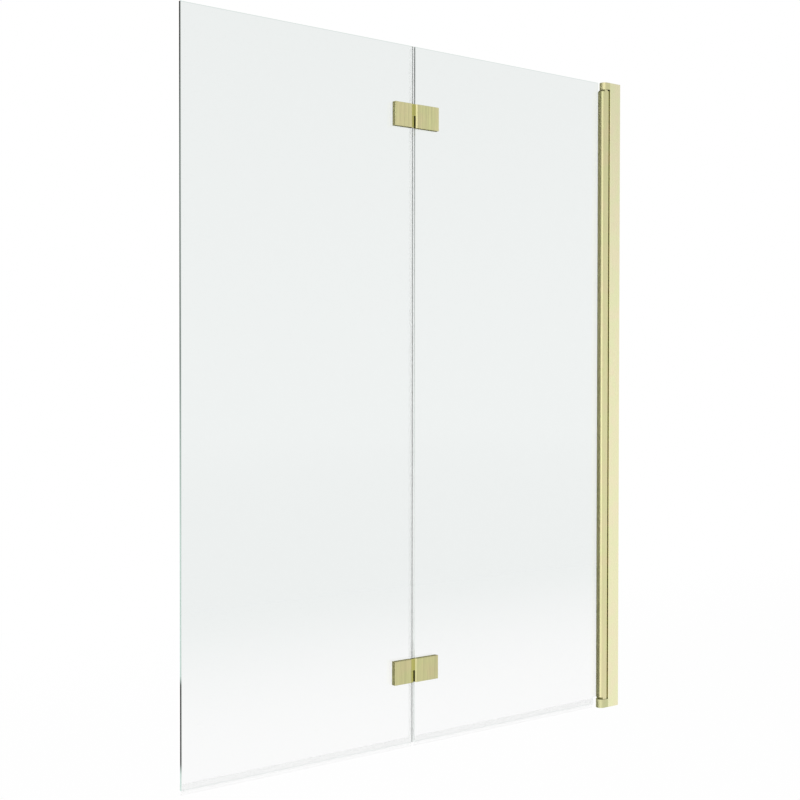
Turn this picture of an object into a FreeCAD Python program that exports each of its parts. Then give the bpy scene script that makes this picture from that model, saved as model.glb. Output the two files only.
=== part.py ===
import FreeCAD, Part
import math
import os

# A bath screen of two folding glass leaves on a pivoting wall profile.
# Millimetres. The wall is the plane x = 0 and the screen runs to -X. y = 0 is the
# mid-plane of the wall profiles and holds the pivot axis. -Y is the room side, where
# the hinge plates are, +Y the bath side. z = 0 is the level of the bath's rim.

V = FreeCAD.Vector

# Whole screen
screen_width = 1100.0
screen_height = 1400.0
fold_from_wall = 578.5
glass_thickness = 6.0
glass_arris = 0.8
fold_gap = 4.5

# Clearances and cutting
cut_overrun = 4.0
least_edge = 0.001
running_clearance = 0.05
seat_clearance = 0.03
slide_clearance = 0.3

# Wall channel
profile_thickness = 21.0
channel_depth = 32.0
channel_wall = 1.8
channel_back = 2.5
channel_rear_setback = 2.6
channel_edge_radius = 0.6
channel_cap_thickness = 1.5
cap_spigot_depth = 9.0
cap_spigot_height = 4.0
wall_hole_radius = 2.6
wall_hole_outer_from_end = 90.0
wall_hole_inner_from_end = 490.0

# Adjusting profile
adjusting_wall = 1.6
adjusting_web = 2.0
adjusting_web_from_nose = 0.6
adjusting_rear_gap = 0.7
adjusting_travel = 10.0
port_block_depth = 5.6
port_block_reach = 5.6
port_radius = 2.0
wiper_width = 4.0
wiper_thickness = 1.5
wiper_clearance = 0.3

# Adjusting screws
adjusting_screw_radius = 2.0
adjusting_screw_from_wall = 17.5
adjusting_screw_length = 8.2
adjusting_head_radius = 4.0
adjusting_head_height = 2.2
adjusting_screw_from_end = 140.0
adjusting_nut_width = 7.0
adjusting_nut_thickness = 3.0
screw_cap_radius = 6.5
screw_cap_height = 4.0
screw_cap_wall = 1.2

# Brackets and pivots
pivot_from_channel = 8.3
top_bracket_height = 15.5
bottom_bracket_height = 19.0
bottom_bracket_extra_reach = 5.0
bracket_seam = 0.2
end_edge_break = 0.4
bracket_end_gap = 0.8
tongue_end_gap = 0.5
tongue_depth = 17.0
bracket_screw_radius = 1.9
bracket_screw_head_radius = 3.6
bracket_screw_engagement = 12.0
pin_radius = 4.0
pin_seat_depth = 10.0
pin_reach = 13.0
pin_collar_radius = 7.0
pin_collar_thickness = 1.5
collar_recess_depth = 2.3
pivot_washer_thickness = 1.2
bush_radius = 6.0
bush_length = 14.0
bush_flange_radius = 7.0
bush_flange_thickness = 1.5
pivot_end_play = 0.2

# Pivot profile and the glass in it
profile_reach = 15.7
profile_fillet = 5.2
profile_wall = 2.4
rebate_from_pivot = 7.2
glass_edge_gap = 1.0
bond_thickness = 1.0
bond_inset = 0.5
chamber_width = 4.5
nose_relief_wall = 1.0
nose_relief_height = 2.5
notch_margin = 4.7
notch_inset = 2.0
bottom_notch_reach = 9.0
notch_radius = 2.5
notch_radius_share = 0.48

# Bottom seals
drip_fin_height = 7.5
drip_fin_thickness = 1.2
seal_web = 1.5
seal_clip_height = 12.0
seal_leg = 1.2
seal_end_gap = 0.5

# Fold seal
fold_leg_length = 7.5
fold_leg = 1.0
fold_web = 1.0
fold_fin_thickness = 1.2
fold_seal_clearance = 0.3
fold_seal_end_gap = 1.0

# Hinges
hinge_height = 47.0
upper_hinge_from_top = 140.1
lower_hinge_from_glass = 146.4
plate_thickness = 10.0
hinge_gasket_thickness = 1.0
hinge_gasket_inset = 1.0
plate_far_edge = 54.9
outer_plate_near_edge = 12.5
inner_plate_near_edge = 2.6
outer_plate_round = 2.5
inner_plate_bevel = 2.6
plate_edge_break = 0.5
hinge_pin_offset = 8.55
hinge_pin_from_glass = 5.0
hinge_pin_radius = 2.0
hinge_pin_bottom_gap = 3.0
knuckle_radius = 3.45
hinge_bush_wall = 0.5
hinge_washer_thickness = 0.5
hinge_washer_radius = 3.2

# Flush fixings through the glass
fixing_offset = 33.0
fixing_from_plate_end = 10.5
fixing_head_radius = 8.5
fixing_neck_radius = 5.5
fixing_cone_depth = 3.0
fixing_screw_radius = 3.0
fixing_thread_depth = 7.0
fixing_socket_width = 5.0
fixing_socket_depth = 2.5
sleeve_wall = 1.0

# Places worked out from the sizes above
half_thickness = profile_thickness / 2
glass_back = half_thickness
glass_front = glass_back - glass_thickness
bond_front = glass_front - bond_thickness
pivot_x = -(channel_depth + pivot_from_channel)
nose_x = pivot_x + half_thickness
profile_side_x = pivot_x - profile_reach
rebate_x = pivot_x - rebate_from_pivot
glass_edge_x = rebate_x - glass_edge_gap
notch_x = profile_side_x + notch_inset
bottom_notch_x = profile_side_x - bottom_notch_reach
notch_round = min(notch_radius, (glass_edge_x - notch_x) * notch_radius_share)
fold_x = -fold_from_wall
inner_glass_x = fold_x + fold_gap / 2
outer_glass_x = fold_x - fold_gap / 2
glass_bottom = drip_fin_height + seal_web
profile_bottom = bottom_bracket_height + bracket_end_gap
profile_top = screen_height - top_bracket_height - bracket_end_gap
notch_low = profile_bottom + notch_margin
notch_high = profile_top - notch_margin
channel_top = screen_height - channel_cap_thickness
channel_inner_half = half_thickness - channel_wall
adjusting_half = channel_inner_half - slide_clearance
adjusting_front_x = nose_x + adjusting_web_from_nose
adjusting_rear_x = -(channel_back + adjusting_rear_gap)
adjusting_bottom = bottom_bracket_height
adjusting_top = screen_height - top_bracket_height
port_x = adjusting_front_x + adjusting_web + port_block_depth / 2
port_y = adjusting_half - adjusting_wall - port_block_reach / 2
tongue_end_x = -channel_depth + tongue_depth
plate_back = glass_front - hinge_gasket_thickness
plate_front = plate_back - plate_thickness
hinge_pin_x = fold_x - hinge_pin_offset
hinge_pin_y = glass_front - hinge_pin_from_glass
hinge_centres = {
    "upper": screen_height - upper_hinge_from_top,
    "lower": glass_bottom + lower_hinge_from_glass,
}
adjusting_screw_heights = [
    adjusting_screw_from_end,
    screen_height / 2,
    screen_height - adjusting_screw_from_end,
]
pivot_ends = {
    "top": (screen_height, -1),
    "bottom": (0, 1),
}
bracket_heights = {
    "top": top_bracket_height,
    "bottom": bottom_bracket_height,
}
bracket_ends = {
    "top": pivot_x - half_thickness,
    "bottom": pivot_x - half_thickness - bottom_bracket_extra_reach,
}


def box(x0, x1, y0, y1, z0, z1):
    """A block between two corners."""
    return Part.makeBox(x1 - x0, y1 - y0, z1 - z0, V(x0, y0, z0))


def upright_rod(x, y, radius, z0, z1):
    """A round bar along Z between two heights given in either order."""
    low, high = min(z0, z1), max(z0, z1)
    return Part.makeCylinder(radius, high - low, V(x, y, low))


def upright_cone(x, y, radius0, radius1, z0, z1):
    """A cone along Z whose radius goes from radius0 at z0 to radius1 at z1."""
    axis = V(0, 0, 1 if z1 > z0 else -1)
    return Part.makeCone(radius0, radius1, abs(z1 - z0), V(x, y, z0), axis)


def cross_rod(x, z, radius, y0, y1):
    """A round bar along Y."""
    return Part.makeCylinder(radius, y1 - y0, V(x, y0, z), V(0, 1, 0))


def ring(x, y, outer, inner, z0, z1):
    """A flat ring around a vertical axis."""
    body = upright_rod(x, y, outer, z0, z1)
    low, high = min(z0, z1), max(z0, z1)
    return body.cut(upright_rod(x, y, inner, low - cut_overrun, high + cut_overrun))


def plan_outline(corners):
    """A closed outline in plan through (x, y, radius) corners, each rounded by its radius."""
    points = [V(x, y, 0) for x, y, _ in corners]
    edges = []
    count = len(points)
    ends = []
    for index, here in enumerate(points):
        radius = corners[index][2]
        inward = (here - points[index - 1]).normalize()
        onward = (points[(index + 1) % count] - here).normalize()
        turn = inward.getAngle(onward)
        setback = radius * math.tan(turn / 2)
        start, end = here - inward * setback, here + onward * setback
        ends.append((start, end))
        if radius > 0:
            bisector = (onward - inward).normalize()
            centre = here + bisector * (radius / math.cos(turn / 2))
            edges.append(Part.Arc(start, centre - bisector * radius, end).toShape())
    for index in range(count):
        start, end = ends[index - 1][1], ends[index][0]
        if start.distanceToPoint(end) > least_edge:
            edges.append(Part.LineSegment(start, end).toShape())
    return Part.Wire(Part.__sortEdges__(edges))


def upright(corners, z0, z1):
    """A plan outline raised from z0 to z1."""
    face = Part.Face(plan_outline(corners))
    face.translate(V(0, 0, z0))
    return face.extrude(V(0, 0, z1 - z0))


def along_x(section, x0, x1):
    """A (y, z) section of straight lines drawn from x0 to x1."""
    points = [V(x0, y, z) for y, z in section]
    face = Part.Face(Part.makePolygon(points + points[:1]))
    return face.extrude(V(x1 - x0, 0, 0))


def through_y(corners, y0, y1):
    """An elevation through (x, z, radius) corners, drawn from y0 to y1."""
    face = Part.Face(plan_outline(corners))
    face.rotate(V(0, 0, 0), V(1, 0, 0), 90)
    face.translate(V(0, y0, 0))
    return face.extrude(V(0, y1 - y0, 0))


def hexagonal_bar(x, z, across, y0, y1):
    """A six-sided bar along Y, across being its width over the flats."""
    corner = across / math.sqrt(3)
    points = []
    for step in range(6):
        angle = math.radians(60 * step)
        points.append(V(x + corner * math.cos(angle), y0, z + corner * math.sin(angle)))
    face = Part.Face(Part.makePolygon(points + points[:1]))
    return face.extrude(V(0, y1 - y0, 0))


def turned(x, z, half_section):
    """A (radius, y) half section turned about the Y direction through (x, z)."""
    points = [V(x + radius, y, z) for radius, y in half_section]
    face = Part.Face(Part.makePolygon(points + points[:1]))
    return face.revolve(V(x, 0, z), V(0, 1, 0), 360)


def chamfered(solid, size, wanted):
    """The solid with a chamfer on each edge that the wanted test picks."""
    return solid.makeChamfer(size, [edge for edge in solid.Edges if wanted(edge)])


def end_eased(solid, height):
    """The solid with the edges of its end face at this height eased."""
    return chamfered(
        solid, end_edge_break,
        lambda edge: max(abs(edge.BoundBox.ZMin - height), abs(edge.BoundBox.ZMax - height)) < least_edge,
    )


def fixing_places(side, centre):
    """Where the two flush fixings of a hinge plate pass through the glass."""
    x = fold_x + side * fixing_offset
    reach = hinge_height / 2 - fixing_from_plate_end
    return [(x, centre - reach), (x, centre + reach)]


def leaf_fixing_places(side):
    """All the fixing places of one leaf: side is -1 for the outer leaf, 1 for the inner."""
    places = []
    for centre in hinge_centres.values():
        places += fixing_places(side, centre)
    return places


def channel_block(z0, z1):
    """The channel's outer form between two heights, with eased front corners."""
    return upright(
        [
            (0, -half_thickness, 0),
            (0, half_thickness, 0),
            (-channel_depth, half_thickness, channel_edge_radius),
            (-channel_depth, -half_thickness, channel_edge_radius),
        ],
        z0, z1,
    )


def wall_channel():
    """U channel on the wall, with a shorter rear wall and screw holes in its back."""
    outside = channel_block(0, channel_top)
    inside = box(
        -channel_depth - cut_overrun, -channel_back,
        -channel_inner_half, channel_inner_half,
        -cut_overrun, channel_top + cut_overrun,
    )
    rear_mouth = box(
        -channel_depth - cut_overrun, -channel_depth + channel_rear_setback,
        0, half_thickness + cut_overrun,
        -cut_overrun, channel_top + cut_overrun,
    )
    channel = outside.cut(inside).cut(rear_mouth)
    for from_end in (wall_hole_outer_from_end, wall_hole_inner_from_end):
        for height in (from_end, screen_height - from_end):
            start = V(-channel_back - cut_overrun, 0, height)
            length = channel_back + 2 * cut_overrun
            channel = channel.cut(Part.makeCylinder(wall_hole_radius, length, start, V(1, 0, 0)))
    for height in adjusting_screw_heights:
        radius = adjusting_screw_radius + slide_clearance
        hole = cross_rod(-adjusting_screw_from_wall, height, radius, 0, half_thickness + cut_overrun)
        channel = channel.cut(hole)
    return channel


def channel_top_cap():
    """Plate on the channel's top, with a spigot between the channel's walls."""
    plate = end_eased(channel_block(channel_top, screen_height), screen_height)
    spigot = box(
        adjusting_rear_x - cap_spigot_depth, adjusting_rear_x,
        -adjusting_half, adjusting_half,
        channel_top - cap_spigot_height, channel_top,
    )
    return plate.fuse(spigot)


def adjusting_screws():
    """Pan-head screws through the channel's rear wall."""
    screws = []
    for height in adjusting_screw_heights:
        outside = half_thickness
        shank = cross_rod(
            -adjusting_screw_from_wall, height, adjusting_screw_radius,
            outside - adjusting_screw_length, outside,
        )
        head = cross_rod(
            -adjusting_screw_from_wall, height, adjusting_head_radius,
            outside, outside + adjusting_head_height,
        )
        screws.append(shank.fuse(head))
    return Part.makeCompound(screws)


def adjusting_nuts():
    """Square nuts inside the adjusting profile's rear wall."""
    nuts = []
    outside = adjusting_half - adjusting_wall
    for height in adjusting_screw_heights:
        half = adjusting_nut_width / 2
        nut = box(
            -adjusting_screw_from_wall - half, -adjusting_screw_from_wall + half,
            outside - adjusting_nut_thickness, outside,
            height - half, height + half,
        )
        radius = adjusting_screw_radius + seat_clearance
        nuts.append(nut.cut(cross_rod(-adjusting_screw_from_wall, height, radius, 0, half_thickness)))
    return Part.makeCompound(nuts)


def adjusting_screw_caps():
    """Round cup covers over the screw heads."""
    caps = []
    for height in adjusting_screw_heights:
        place = (-adjusting_screw_from_wall, height)
        outside = half_thickness
        cup = cross_rod(*place, screw_cap_radius, outside, outside + screw_cap_height)
        cup = chamfered(
            cup, screw_cap_wall / 2,
            lambda edge: edge.BoundBox.YMin > outside + screw_cap_height / 2,
        )
        hollow = cross_rod(
            *place, screw_cap_radius - screw_cap_wall,
            outside - cut_overrun, outside + screw_cap_height - screw_cap_wall,
        )
        caps.append(cup.cut(hollow))
    return Part.makeCompound(caps)


def adjusting_profile():
    """Inner U profile: a web behind the nose, two walls, and ports for the bracket screws."""
    body = box(
        adjusting_front_x, adjusting_rear_x, -adjusting_half, adjusting_half,
        adjusting_bottom, adjusting_top,
    )
    inner_half = adjusting_half - adjusting_wall
    web_back = adjusting_front_x + adjusting_web
    hollow = box(
        web_back, adjusting_rear_x + cut_overrun, -inner_half, inner_half,
        adjusting_bottom - cut_overrun, adjusting_top + cut_overrun,
    )
    profile = body.cut(hollow)
    for side in (-1, 1):
        near, far = sorted((side * inner_half, side * (inner_half - port_block_reach)))
        block = box(web_back, web_back + port_block_depth, near, far, adjusting_bottom, adjusting_top)
        bore = upright_rod(
            port_x, side * port_y, port_radius,
            adjusting_bottom - cut_overrun, adjusting_top + cut_overrun,
        )
        profile = profile.fuse(block).cut(bore)
    groove = box(
        adjusting_front_x - cut_overrun, nose_x + wiper_clearance + wiper_thickness,
        -wiper_width / 2, wiper_width / 2,
        adjusting_bottom - cut_overrun, adjusting_top + cut_overrun,
    )
    profile = profile.cut(groove)
    slot_half = adjusting_screw_radius + slide_clearance
    for height in adjusting_screw_heights:
        near = -adjusting_screw_from_wall
        far = near + adjusting_travel
        slot = box(near, far, 0, half_thickness, height - slot_half, height + slot_half)
        for x in (near, far):
            slot = slot.fuse(cross_rod(x, height, slot_half, 0, half_thickness))
        profile = profile.cut(slot)
    return profile.removeSplitter()


def wiper_seal():
    """Soft strip in the web's groove, just clear of the nose."""
    front = nose_x + wiper_clearance
    return box(
        front, front + wiper_thickness, -wiper_width / 2, wiper_width / 2,
        adjusting_bottom, adjusting_top,
    )


def bracket(end):
    """Round-ended block that holds a pivot pin, with a tongue in the channel."""
    outer, way = pivot_ends[end]
    inner = outer + way * bracket_heights[end]
    low, high = min(outer, inner), max(outer, inner)
    seam_x = -(channel_depth + bracket_seam)
    block = upright(
        [
            (seam_x, -half_thickness, 0),
            (seam_x, half_thickness, 0),
            (bracket_ends[end], half_thickness, half_thickness),
            (bracket_ends[end], -half_thickness, half_thickness),
        ],
        low, high,
    )
    block = end_eased(block, outer)
    tongue_outer = outer + way * (tongue_end_gap + channel_cap_thickness)
    tongue = box(
        seam_x, tongue_end_x, -adjusting_half, adjusting_half,
        min(tongue_outer, inner), max(tongue_outer, inner),
    )
    piece = block.fuse(tongue)
    floor = inner - way * collar_recess_depth
    recess_radius = pin_collar_radius + slide_clearance
    piece = piece.cut(upright_rod(pivot_x, 0, recess_radius, floor, inner + way * cut_overrun))
    seat = floor - way * pin_seat_depth
    piece = piece.cut(upright_rod(pivot_x, 0, pin_radius + seat_clearance, seat, floor))
    hole_radius = bracket_screw_radius + running_clearance
    head_radius = bracket_screw_head_radius + seat_clearance
    for side in (-1, 1):
        place = (port_x, side * port_y)
        piece = piece.cut(upright_rod(*place, hole_radius, tongue_outer, inner))
        sink = head_radius - hole_radius
        cone = upright_cone(*place, head_radius, hole_radius, tongue_outer, tongue_outer + way * sink)
        piece = piece.cut(cone)
    return piece.removeSplitter()


def bracket_screws(end):
    """Two countersunk screws from a bracket's tongue into the adjusting profile's ports."""
    outer, way = pivot_ends[end]
    inner = outer + way * bracket_heights[end]
    head = outer + way * (tongue_end_gap + channel_cap_thickness)
    sink = bracket_screw_head_radius - bracket_screw_radius
    screws = []
    for side in (-1, 1):
        place = (port_x, side * port_y)
        shank = upright_rod(*place, bracket_screw_radius, head, inner + way * bracket_screw_engagement)
        cone = upright_cone(
            *place, bracket_screw_head_radius, bracket_screw_radius, head, head + way * sink,
        )
        screws.append(shank.fuse(cone).removeSplitter())
    return Part.makeCompound(screws)


def collar_face(end):
    """Height of the face of a pin's collar that the washer lies on."""
    outer, way = pivot_ends[end]
    return outer + way * (bracket_heights[end] - collar_recess_depth + pin_collar_thickness)


def pivot_pin(end):
    """Steel pin with a collar that seats in the bracket's recess."""
    _, way = pivot_ends[end]
    face = collar_face(end)
    floor = face - way * pin_collar_thickness
    shank = upright_rod(pivot_x, 0, pin_radius, floor - way * pin_seat_depth, face + way * pin_reach)
    collar = upright_rod(pivot_x, 0, pin_collar_radius, floor, face)
    return shank.fuse(collar).removeSplitter()


def pivot_washers():
    """Thrust washers on the collars of both pins."""
    washers = []
    inner = pin_radius + slide_clearance
    for end, (_, way) in pivot_ends.items():
        face = collar_face(end)
        washers.append(ring(
            pivot_x, 0, pin_collar_radius, inner, face, face + way * pivot_washer_thickness,
        ))
    return Part.makeCompound(washers)


def flange_face(end):
    """Height of the face of a bush's flange that meets the washer: the top one has end play."""
    _, way = pivot_ends[end]
    play = pivot_end_play if end == "top" else 0
    return collar_face(end) + way * (pivot_washer_thickness + play)


def pivot_bush(end):
    """Flanged bush in the pivot profile's bore."""
    _, way = pivot_ends[end]
    face = flange_face(end)
    seat = face + way * bush_flange_thickness
    flange = upright_rod(pivot_x, 0, bush_flange_radius, face, seat)
    barrel = upright_rod(pivot_x, 0, bush_radius, seat, seat + way * bush_length)
    bore = upright_rod(
        pivot_x, 0, pin_radius + running_clearance,
        face - way * cut_overrun, seat + way * (bush_length + cut_overrun),
    )
    return flange.fuse(barrel).cut(bore)


def pivot_profile():
    """Round-nosed extrusion: a rebate for the glass, a bore, a chamber, and a relief at the nose's top.

    Its glass side is cut back at both ends, as far as the notches in the pane.
    """
    profile = upright(
        [
            (nose_x, -half_thickness, half_thickness),
            (nose_x, half_thickness, half_thickness),
            (rebate_x, half_thickness, 0),
            (rebate_x, bond_front, 0),
            (profile_side_x, bond_front, 0),
            (profile_side_x, -half_thickness, profile_fillet),
        ],
        profile_bottom, profile_top,
    )
    low, high = profile_bottom - cut_overrun, profile_top + cut_overrun
    profile = profile.cut(upright_rod(pivot_x, 0, bush_radius + seat_clearance, low, high))
    chamber_x = profile_side_x + profile_wall
    chamber = box(
        chamber_x, chamber_x + chamber_width,
        -half_thickness + profile_wall, bond_front - profile_wall, low, high,
    )
    profile = profile.cut(chamber)
    for cut_low, cut_high in ((low, notch_low), (notch_high, high)):
        profile = profile.cut(box(
            profile_side_x - cut_overrun, chamber_x + chamber_width,
            -half_thickness - cut_overrun, bond_front + cut_overrun, cut_low, cut_high,
        ))
    for end, (_, way) in pivot_ends.items():
        seat = flange_face(end) + way * bush_flange_thickness
        recess_radius = bush_flange_radius + seat_clearance
        profile = profile.cut(upright_rod(pivot_x, 0, recess_radius, seat - way * cut_overrun, seat))
    relief = ring(
        pivot_x, 0, half_thickness + cut_overrun, bush_flange_radius + seat_clearance + nose_relief_wall,
        profile_top - nose_relief_height, high,
    )
    nose_side = box(
        pivot_x, nose_x + cut_overrun, -profile_thickness, profile_thickness,
        profile_bottom, high + cut_overrun,
    )
    return profile.cut(relief.common(nose_side))


def glazing_bond():
    """Bonding strip between the profile's rebate and the glass."""
    return box(
        profile_side_x + bond_inset, glass_edge_x, bond_front, glass_front, notch_low, notch_high,
    )


def pierced(glass, side):
    """A pane with the tapered holes for its flush fixings."""
    grow = sleeve_wall + 2 * seat_clearance
    for x, z in leaf_fixing_places(side):
        hole = turned(x, z, [
            (0, glass_back + cut_overrun),
            (fixing_head_radius + grow, glass_back + cut_overrun),
            (fixing_head_radius + grow, glass_back),
            (fixing_neck_radius + grow, glass_back - fixing_cone_depth),
            (fixing_neck_radius + grow, glass_front - cut_overrun),
            (0, glass_front - cut_overrun),
        ])
        glass = glass.cut(hole)
    return glass


def arrised(pane):
    """A pane with the edges of its two faces eased."""
    return chamfered(
        pane, glass_arris,
        lambda edge: edge.BoundBox.YMax < glass_front + least_edge
        or edge.BoundBox.YMin > glass_back - least_edge,
    )


def inner_glass():
    """Pane of the inner leaf, stepped in at both wall-side corners."""
    pane = through_y(
        [
            (inner_glass_x, glass_bottom, 0),
            (bottom_notch_x, glass_bottom, 0),
            (bottom_notch_x, notch_low, notch_round),
            (glass_edge_x, notch_low, 0),
            (glass_edge_x, notch_high, 0),
            (notch_x, notch_high, notch_round),
            (notch_x, screen_height, 0),
            (inner_glass_x, screen_height, 0),
        ],
        glass_front, glass_back,
    )
    return pierced(arrised(pane), 1)


def outer_glass():
    """Pane of the outer leaf."""
    pane = box(
        -screen_width, outer_glass_x, glass_front, glass_back, glass_bottom, screen_height,
    )
    return pierced(arrised(pane), -1)


def bottom_seal(x0, x1):
    """Clear clip on a pane's lower edge, with a drip fin under it."""
    front, back = glass_front - seal_leg, glass_back + seal_leg
    middle = (glass_front + glass_back) / 2
    clip_top = glass_bottom + seal_clip_height
    fin = drip_fin_thickness / 2
    return along_x(
        [
            (middle - fin, 0),
            (middle + fin, 0),
            (middle + fin, drip_fin_height),
            (back, drip_fin_height),
            (back, clip_top),
            (glass_back, clip_top),
            (glass_back, glass_bottom),
            (glass_front, glass_bottom),
            (glass_front, clip_top),
            (front, clip_top),
            (front, drip_fin_height),
            (middle - fin, drip_fin_height),
        ],
        x0, x1,
    )


def fold_seal():
    """Clear clip on the outer pane's edge, with a fin across the fold gap, between the hinges."""
    leg_x = outer_glass_x - fold_leg_length
    web_x = outer_glass_x + fold_web
    tip_x = inner_glass_x - fold_seal_clearance
    front, back = glass_front - fold_leg, glass_back + fold_leg
    middle = (glass_front + glass_back) / 2
    fin = fold_fin_thickness / 2
    section = [
        (leg_x, front, 0),
        (web_x, front, 0),
        (web_x, middle - fin, 0),
        (tip_x, middle - fin, 0),
        (tip_x, middle + fin, 0),
        (web_x, middle + fin, 0),
        (web_x, back, 0),
        (leg_x, back, 0),
        (leg_x, glass_back, 0),
        (outer_glass_x, glass_back, 0),
        (outer_glass_x, glass_front, 0),
        (leg_x, glass_front, 0),
    ]
    reach = hinge_height / 2 + fold_seal_end_gap
    lower, upper = hinge_centres["lower"], hinge_centres["upper"]
    start = glass_bottom + seal_clip_height + fold_seal_end_gap
    spans = [
        (start, lower - reach),
        (lower + reach, upper - reach),
        (upper + reach, screen_height),
    ]
    return Part.makeCompound([upright(section, low, high) for low, high in spans])


def on_front(edge):
    """Whether an edge lies on the front face of the hinge plates."""
    return edge.BoundBox.YMax < plate_front + least_edge


def threaded(plate, side, centre):
    """A hinge plate with the blind holes for its two fixings."""
    for x, z in fixing_places(side, centre):
        radius = fixing_screw_radius + seat_clearance
        hole = cross_rod(x, z, radius, plate_back - fixing_thread_depth, plate_back + cut_overrun)
        plate = plate.cut(hole)
    return plate


def knuckle(near_x, low, high, bore_radius):
    """Half of a hinge's barrel, bridged to its plate's edge at near_x."""
    barrel = upright_rod(hinge_pin_x, hinge_pin_y, knuckle_radius, low, high)
    left, right = sorted((near_x, hinge_pin_x))
    bridge = box(left, right, hinge_pin_y - knuckle_radius, plate_back, low, high)
    bore = upright_rod(hinge_pin_x, hinge_pin_y, bore_radius, low - cut_overrun, high + cut_overrun)
    return barrel.fuse(bridge), bore


def inner_hinge_plate(level):
    """Plate on the inner pane, with the upper knuckle that holds the pin."""
    centre = hinge_centres[level]
    low, high = centre - hinge_height / 2, centre + hinge_height / 2
    near_x = fold_x - inner_plate_near_edge
    far_x = fold_x + plate_far_edge
    plate = upright(
        [
            (near_x, plate_front + inner_plate_bevel, 0),
            (near_x + inner_plate_bevel, plate_front, 0),
            (far_x, plate_front, 0),
            (far_x, plate_back, 0),
            (near_x, plate_back, 0),
        ],
        low, high,
    )
    plate = chamfered(
        plate, plate_edge_break,
        lambda edge: on_front(edge) and edge.BoundBox.XMax > near_x + inner_plate_bevel + least_edge,
    )
    barrel, bore = knuckle(
        near_x, centre + hinge_washer_thickness / 2, high, hinge_pin_radius + seat_clearance,
    )
    plate = plate.fuse(barrel).cut(bore)
    return threaded(plate, 1, centre).removeSplitter()


def outer_hinge_plate(level):
    """Plate on the outer pane, with the lower knuckle that holds the bush."""
    centre = hinge_centres[level]
    low, high = centre - hinge_height / 2, centre + hinge_height / 2
    near_x = fold_x - outer_plate_near_edge
    far_x = fold_x - plate_far_edge
    plate = upright(
        [
            (far_x, plate_front, 0),
            (near_x, plate_front, outer_plate_round),
            (near_x, plate_back, 0),
            (far_x, plate_back, 0),
        ],
        low, high,
    )
    plate = chamfered(
        plate, plate_edge_break,
        lambda edge: on_front(edge) and edge.BoundBox.XMin < near_x - outer_plate_round - least_edge,
    )
    bush_outer = hinge_pin_radius + running_clearance + hinge_bush_wall
    barrel, bore = knuckle(
        near_x, low, centre - hinge_washer_thickness / 2, bush_outer + seat_clearance,
    )
    plate = plate.fuse(barrel).cut(bore)
    return threaded(plate, -1, centre).removeSplitter()


def hinge_gaskets(side):
    """Pads between the plates of one leaf and its glass."""
    pads = []
    for centre in hinge_centres.values():
        near = outer_plate_near_edge if side < 0 else fold_gap / 2
        left, right = sorted((
            fold_x + side * (near + hinge_gasket_inset),
            fold_x + side * (plate_far_edge - hinge_gasket_inset),
        ))
        reach = hinge_height / 2 - hinge_gasket_inset
        pad = box(left, right, plate_back, glass_front, centre - reach, centre + reach)
        for x, z in fixing_places(side, centre):
            radius = fixing_screw_radius + slide_clearance
            pad = pad.cut(cross_rod(x, z, radius, plate_back - cut_overrun, glass_front + cut_overrun))
        pads.append(pad)
    return Part.makeCompound(pads)


def glass_discs(side):
    """Flush countersunk fixings from the back of the glass into the plates, with key sockets."""
    tip = plate_back - fixing_thread_depth + hinge_gasket_thickness
    discs = []
    for x, z in leaf_fixing_places(side):
        disc = turned(x, z, [
            (0, glass_back),
            (fixing_head_radius, glass_back),
            (fixing_neck_radius, glass_back - fixing_cone_depth),
            (fixing_neck_radius, glass_front),
            (fixing_screw_radius, glass_front),
            (fixing_screw_radius, tip),
            (0, tip),
        ])
        socket_floor = glass_back - fixing_socket_depth
        socket = hexagonal_bar(x, z, fixing_socket_width, socket_floor, glass_back + cut_overrun)
        discs.append(disc.cut(socket))
    return Part.makeCompound(discs)


def disc_sleeves(side):
    """Tapered sleeves between the fixings and the glass."""
    inside = seat_clearance
    outside = seat_clearance + sleeve_wall
    sleeves = []
    for x, z in leaf_fixing_places(side):
        sleeves.append(turned(x, z, [
            (fixing_head_radius + inside, glass_back),
            (fixing_head_radius + outside, glass_back),
            (fixing_neck_radius + outside, glass_back - fixing_cone_depth),
            (fixing_neck_radius + outside, glass_front),
            (fixing_neck_radius + inside, glass_front),
            (fixing_neck_radius + inside, glass_back - fixing_cone_depth),
        ]))
    return Part.makeCompound(sleeves)


def hinge_pin(level):
    """Pin pressed into the upper knuckle, running in the lower one's bush."""
    centre = hinge_centres[level]
    low = centre - hinge_height / 2 + hinge_pin_bottom_gap
    return upright_rod(hinge_pin_x, hinge_pin_y, hinge_pin_radius, low, centre + hinge_height / 2)


def hinge_bushes():
    """A bush in each lower knuckle."""
    inner = hinge_pin_radius + running_clearance
    bushes = []
    for centre in hinge_centres.values():
        low, high = centre - hinge_height / 2, centre - hinge_washer_thickness / 2
        bushes.append(ring(hinge_pin_x, hinge_pin_y, inner + hinge_bush_wall, inner, low, high))
    return Part.makeCompound(bushes)


def hinge_washers():
    """A thin washer between the two knuckles of each hinge."""
    inner = hinge_pin_radius + running_clearance
    half = hinge_washer_thickness / 2
    return Part.makeCompound([
        ring(hinge_pin_x, hinge_pin_y, hinge_washer_radius, inner, centre - half, centre + half)
        for centre in hinge_centres.values()
    ])


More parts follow.
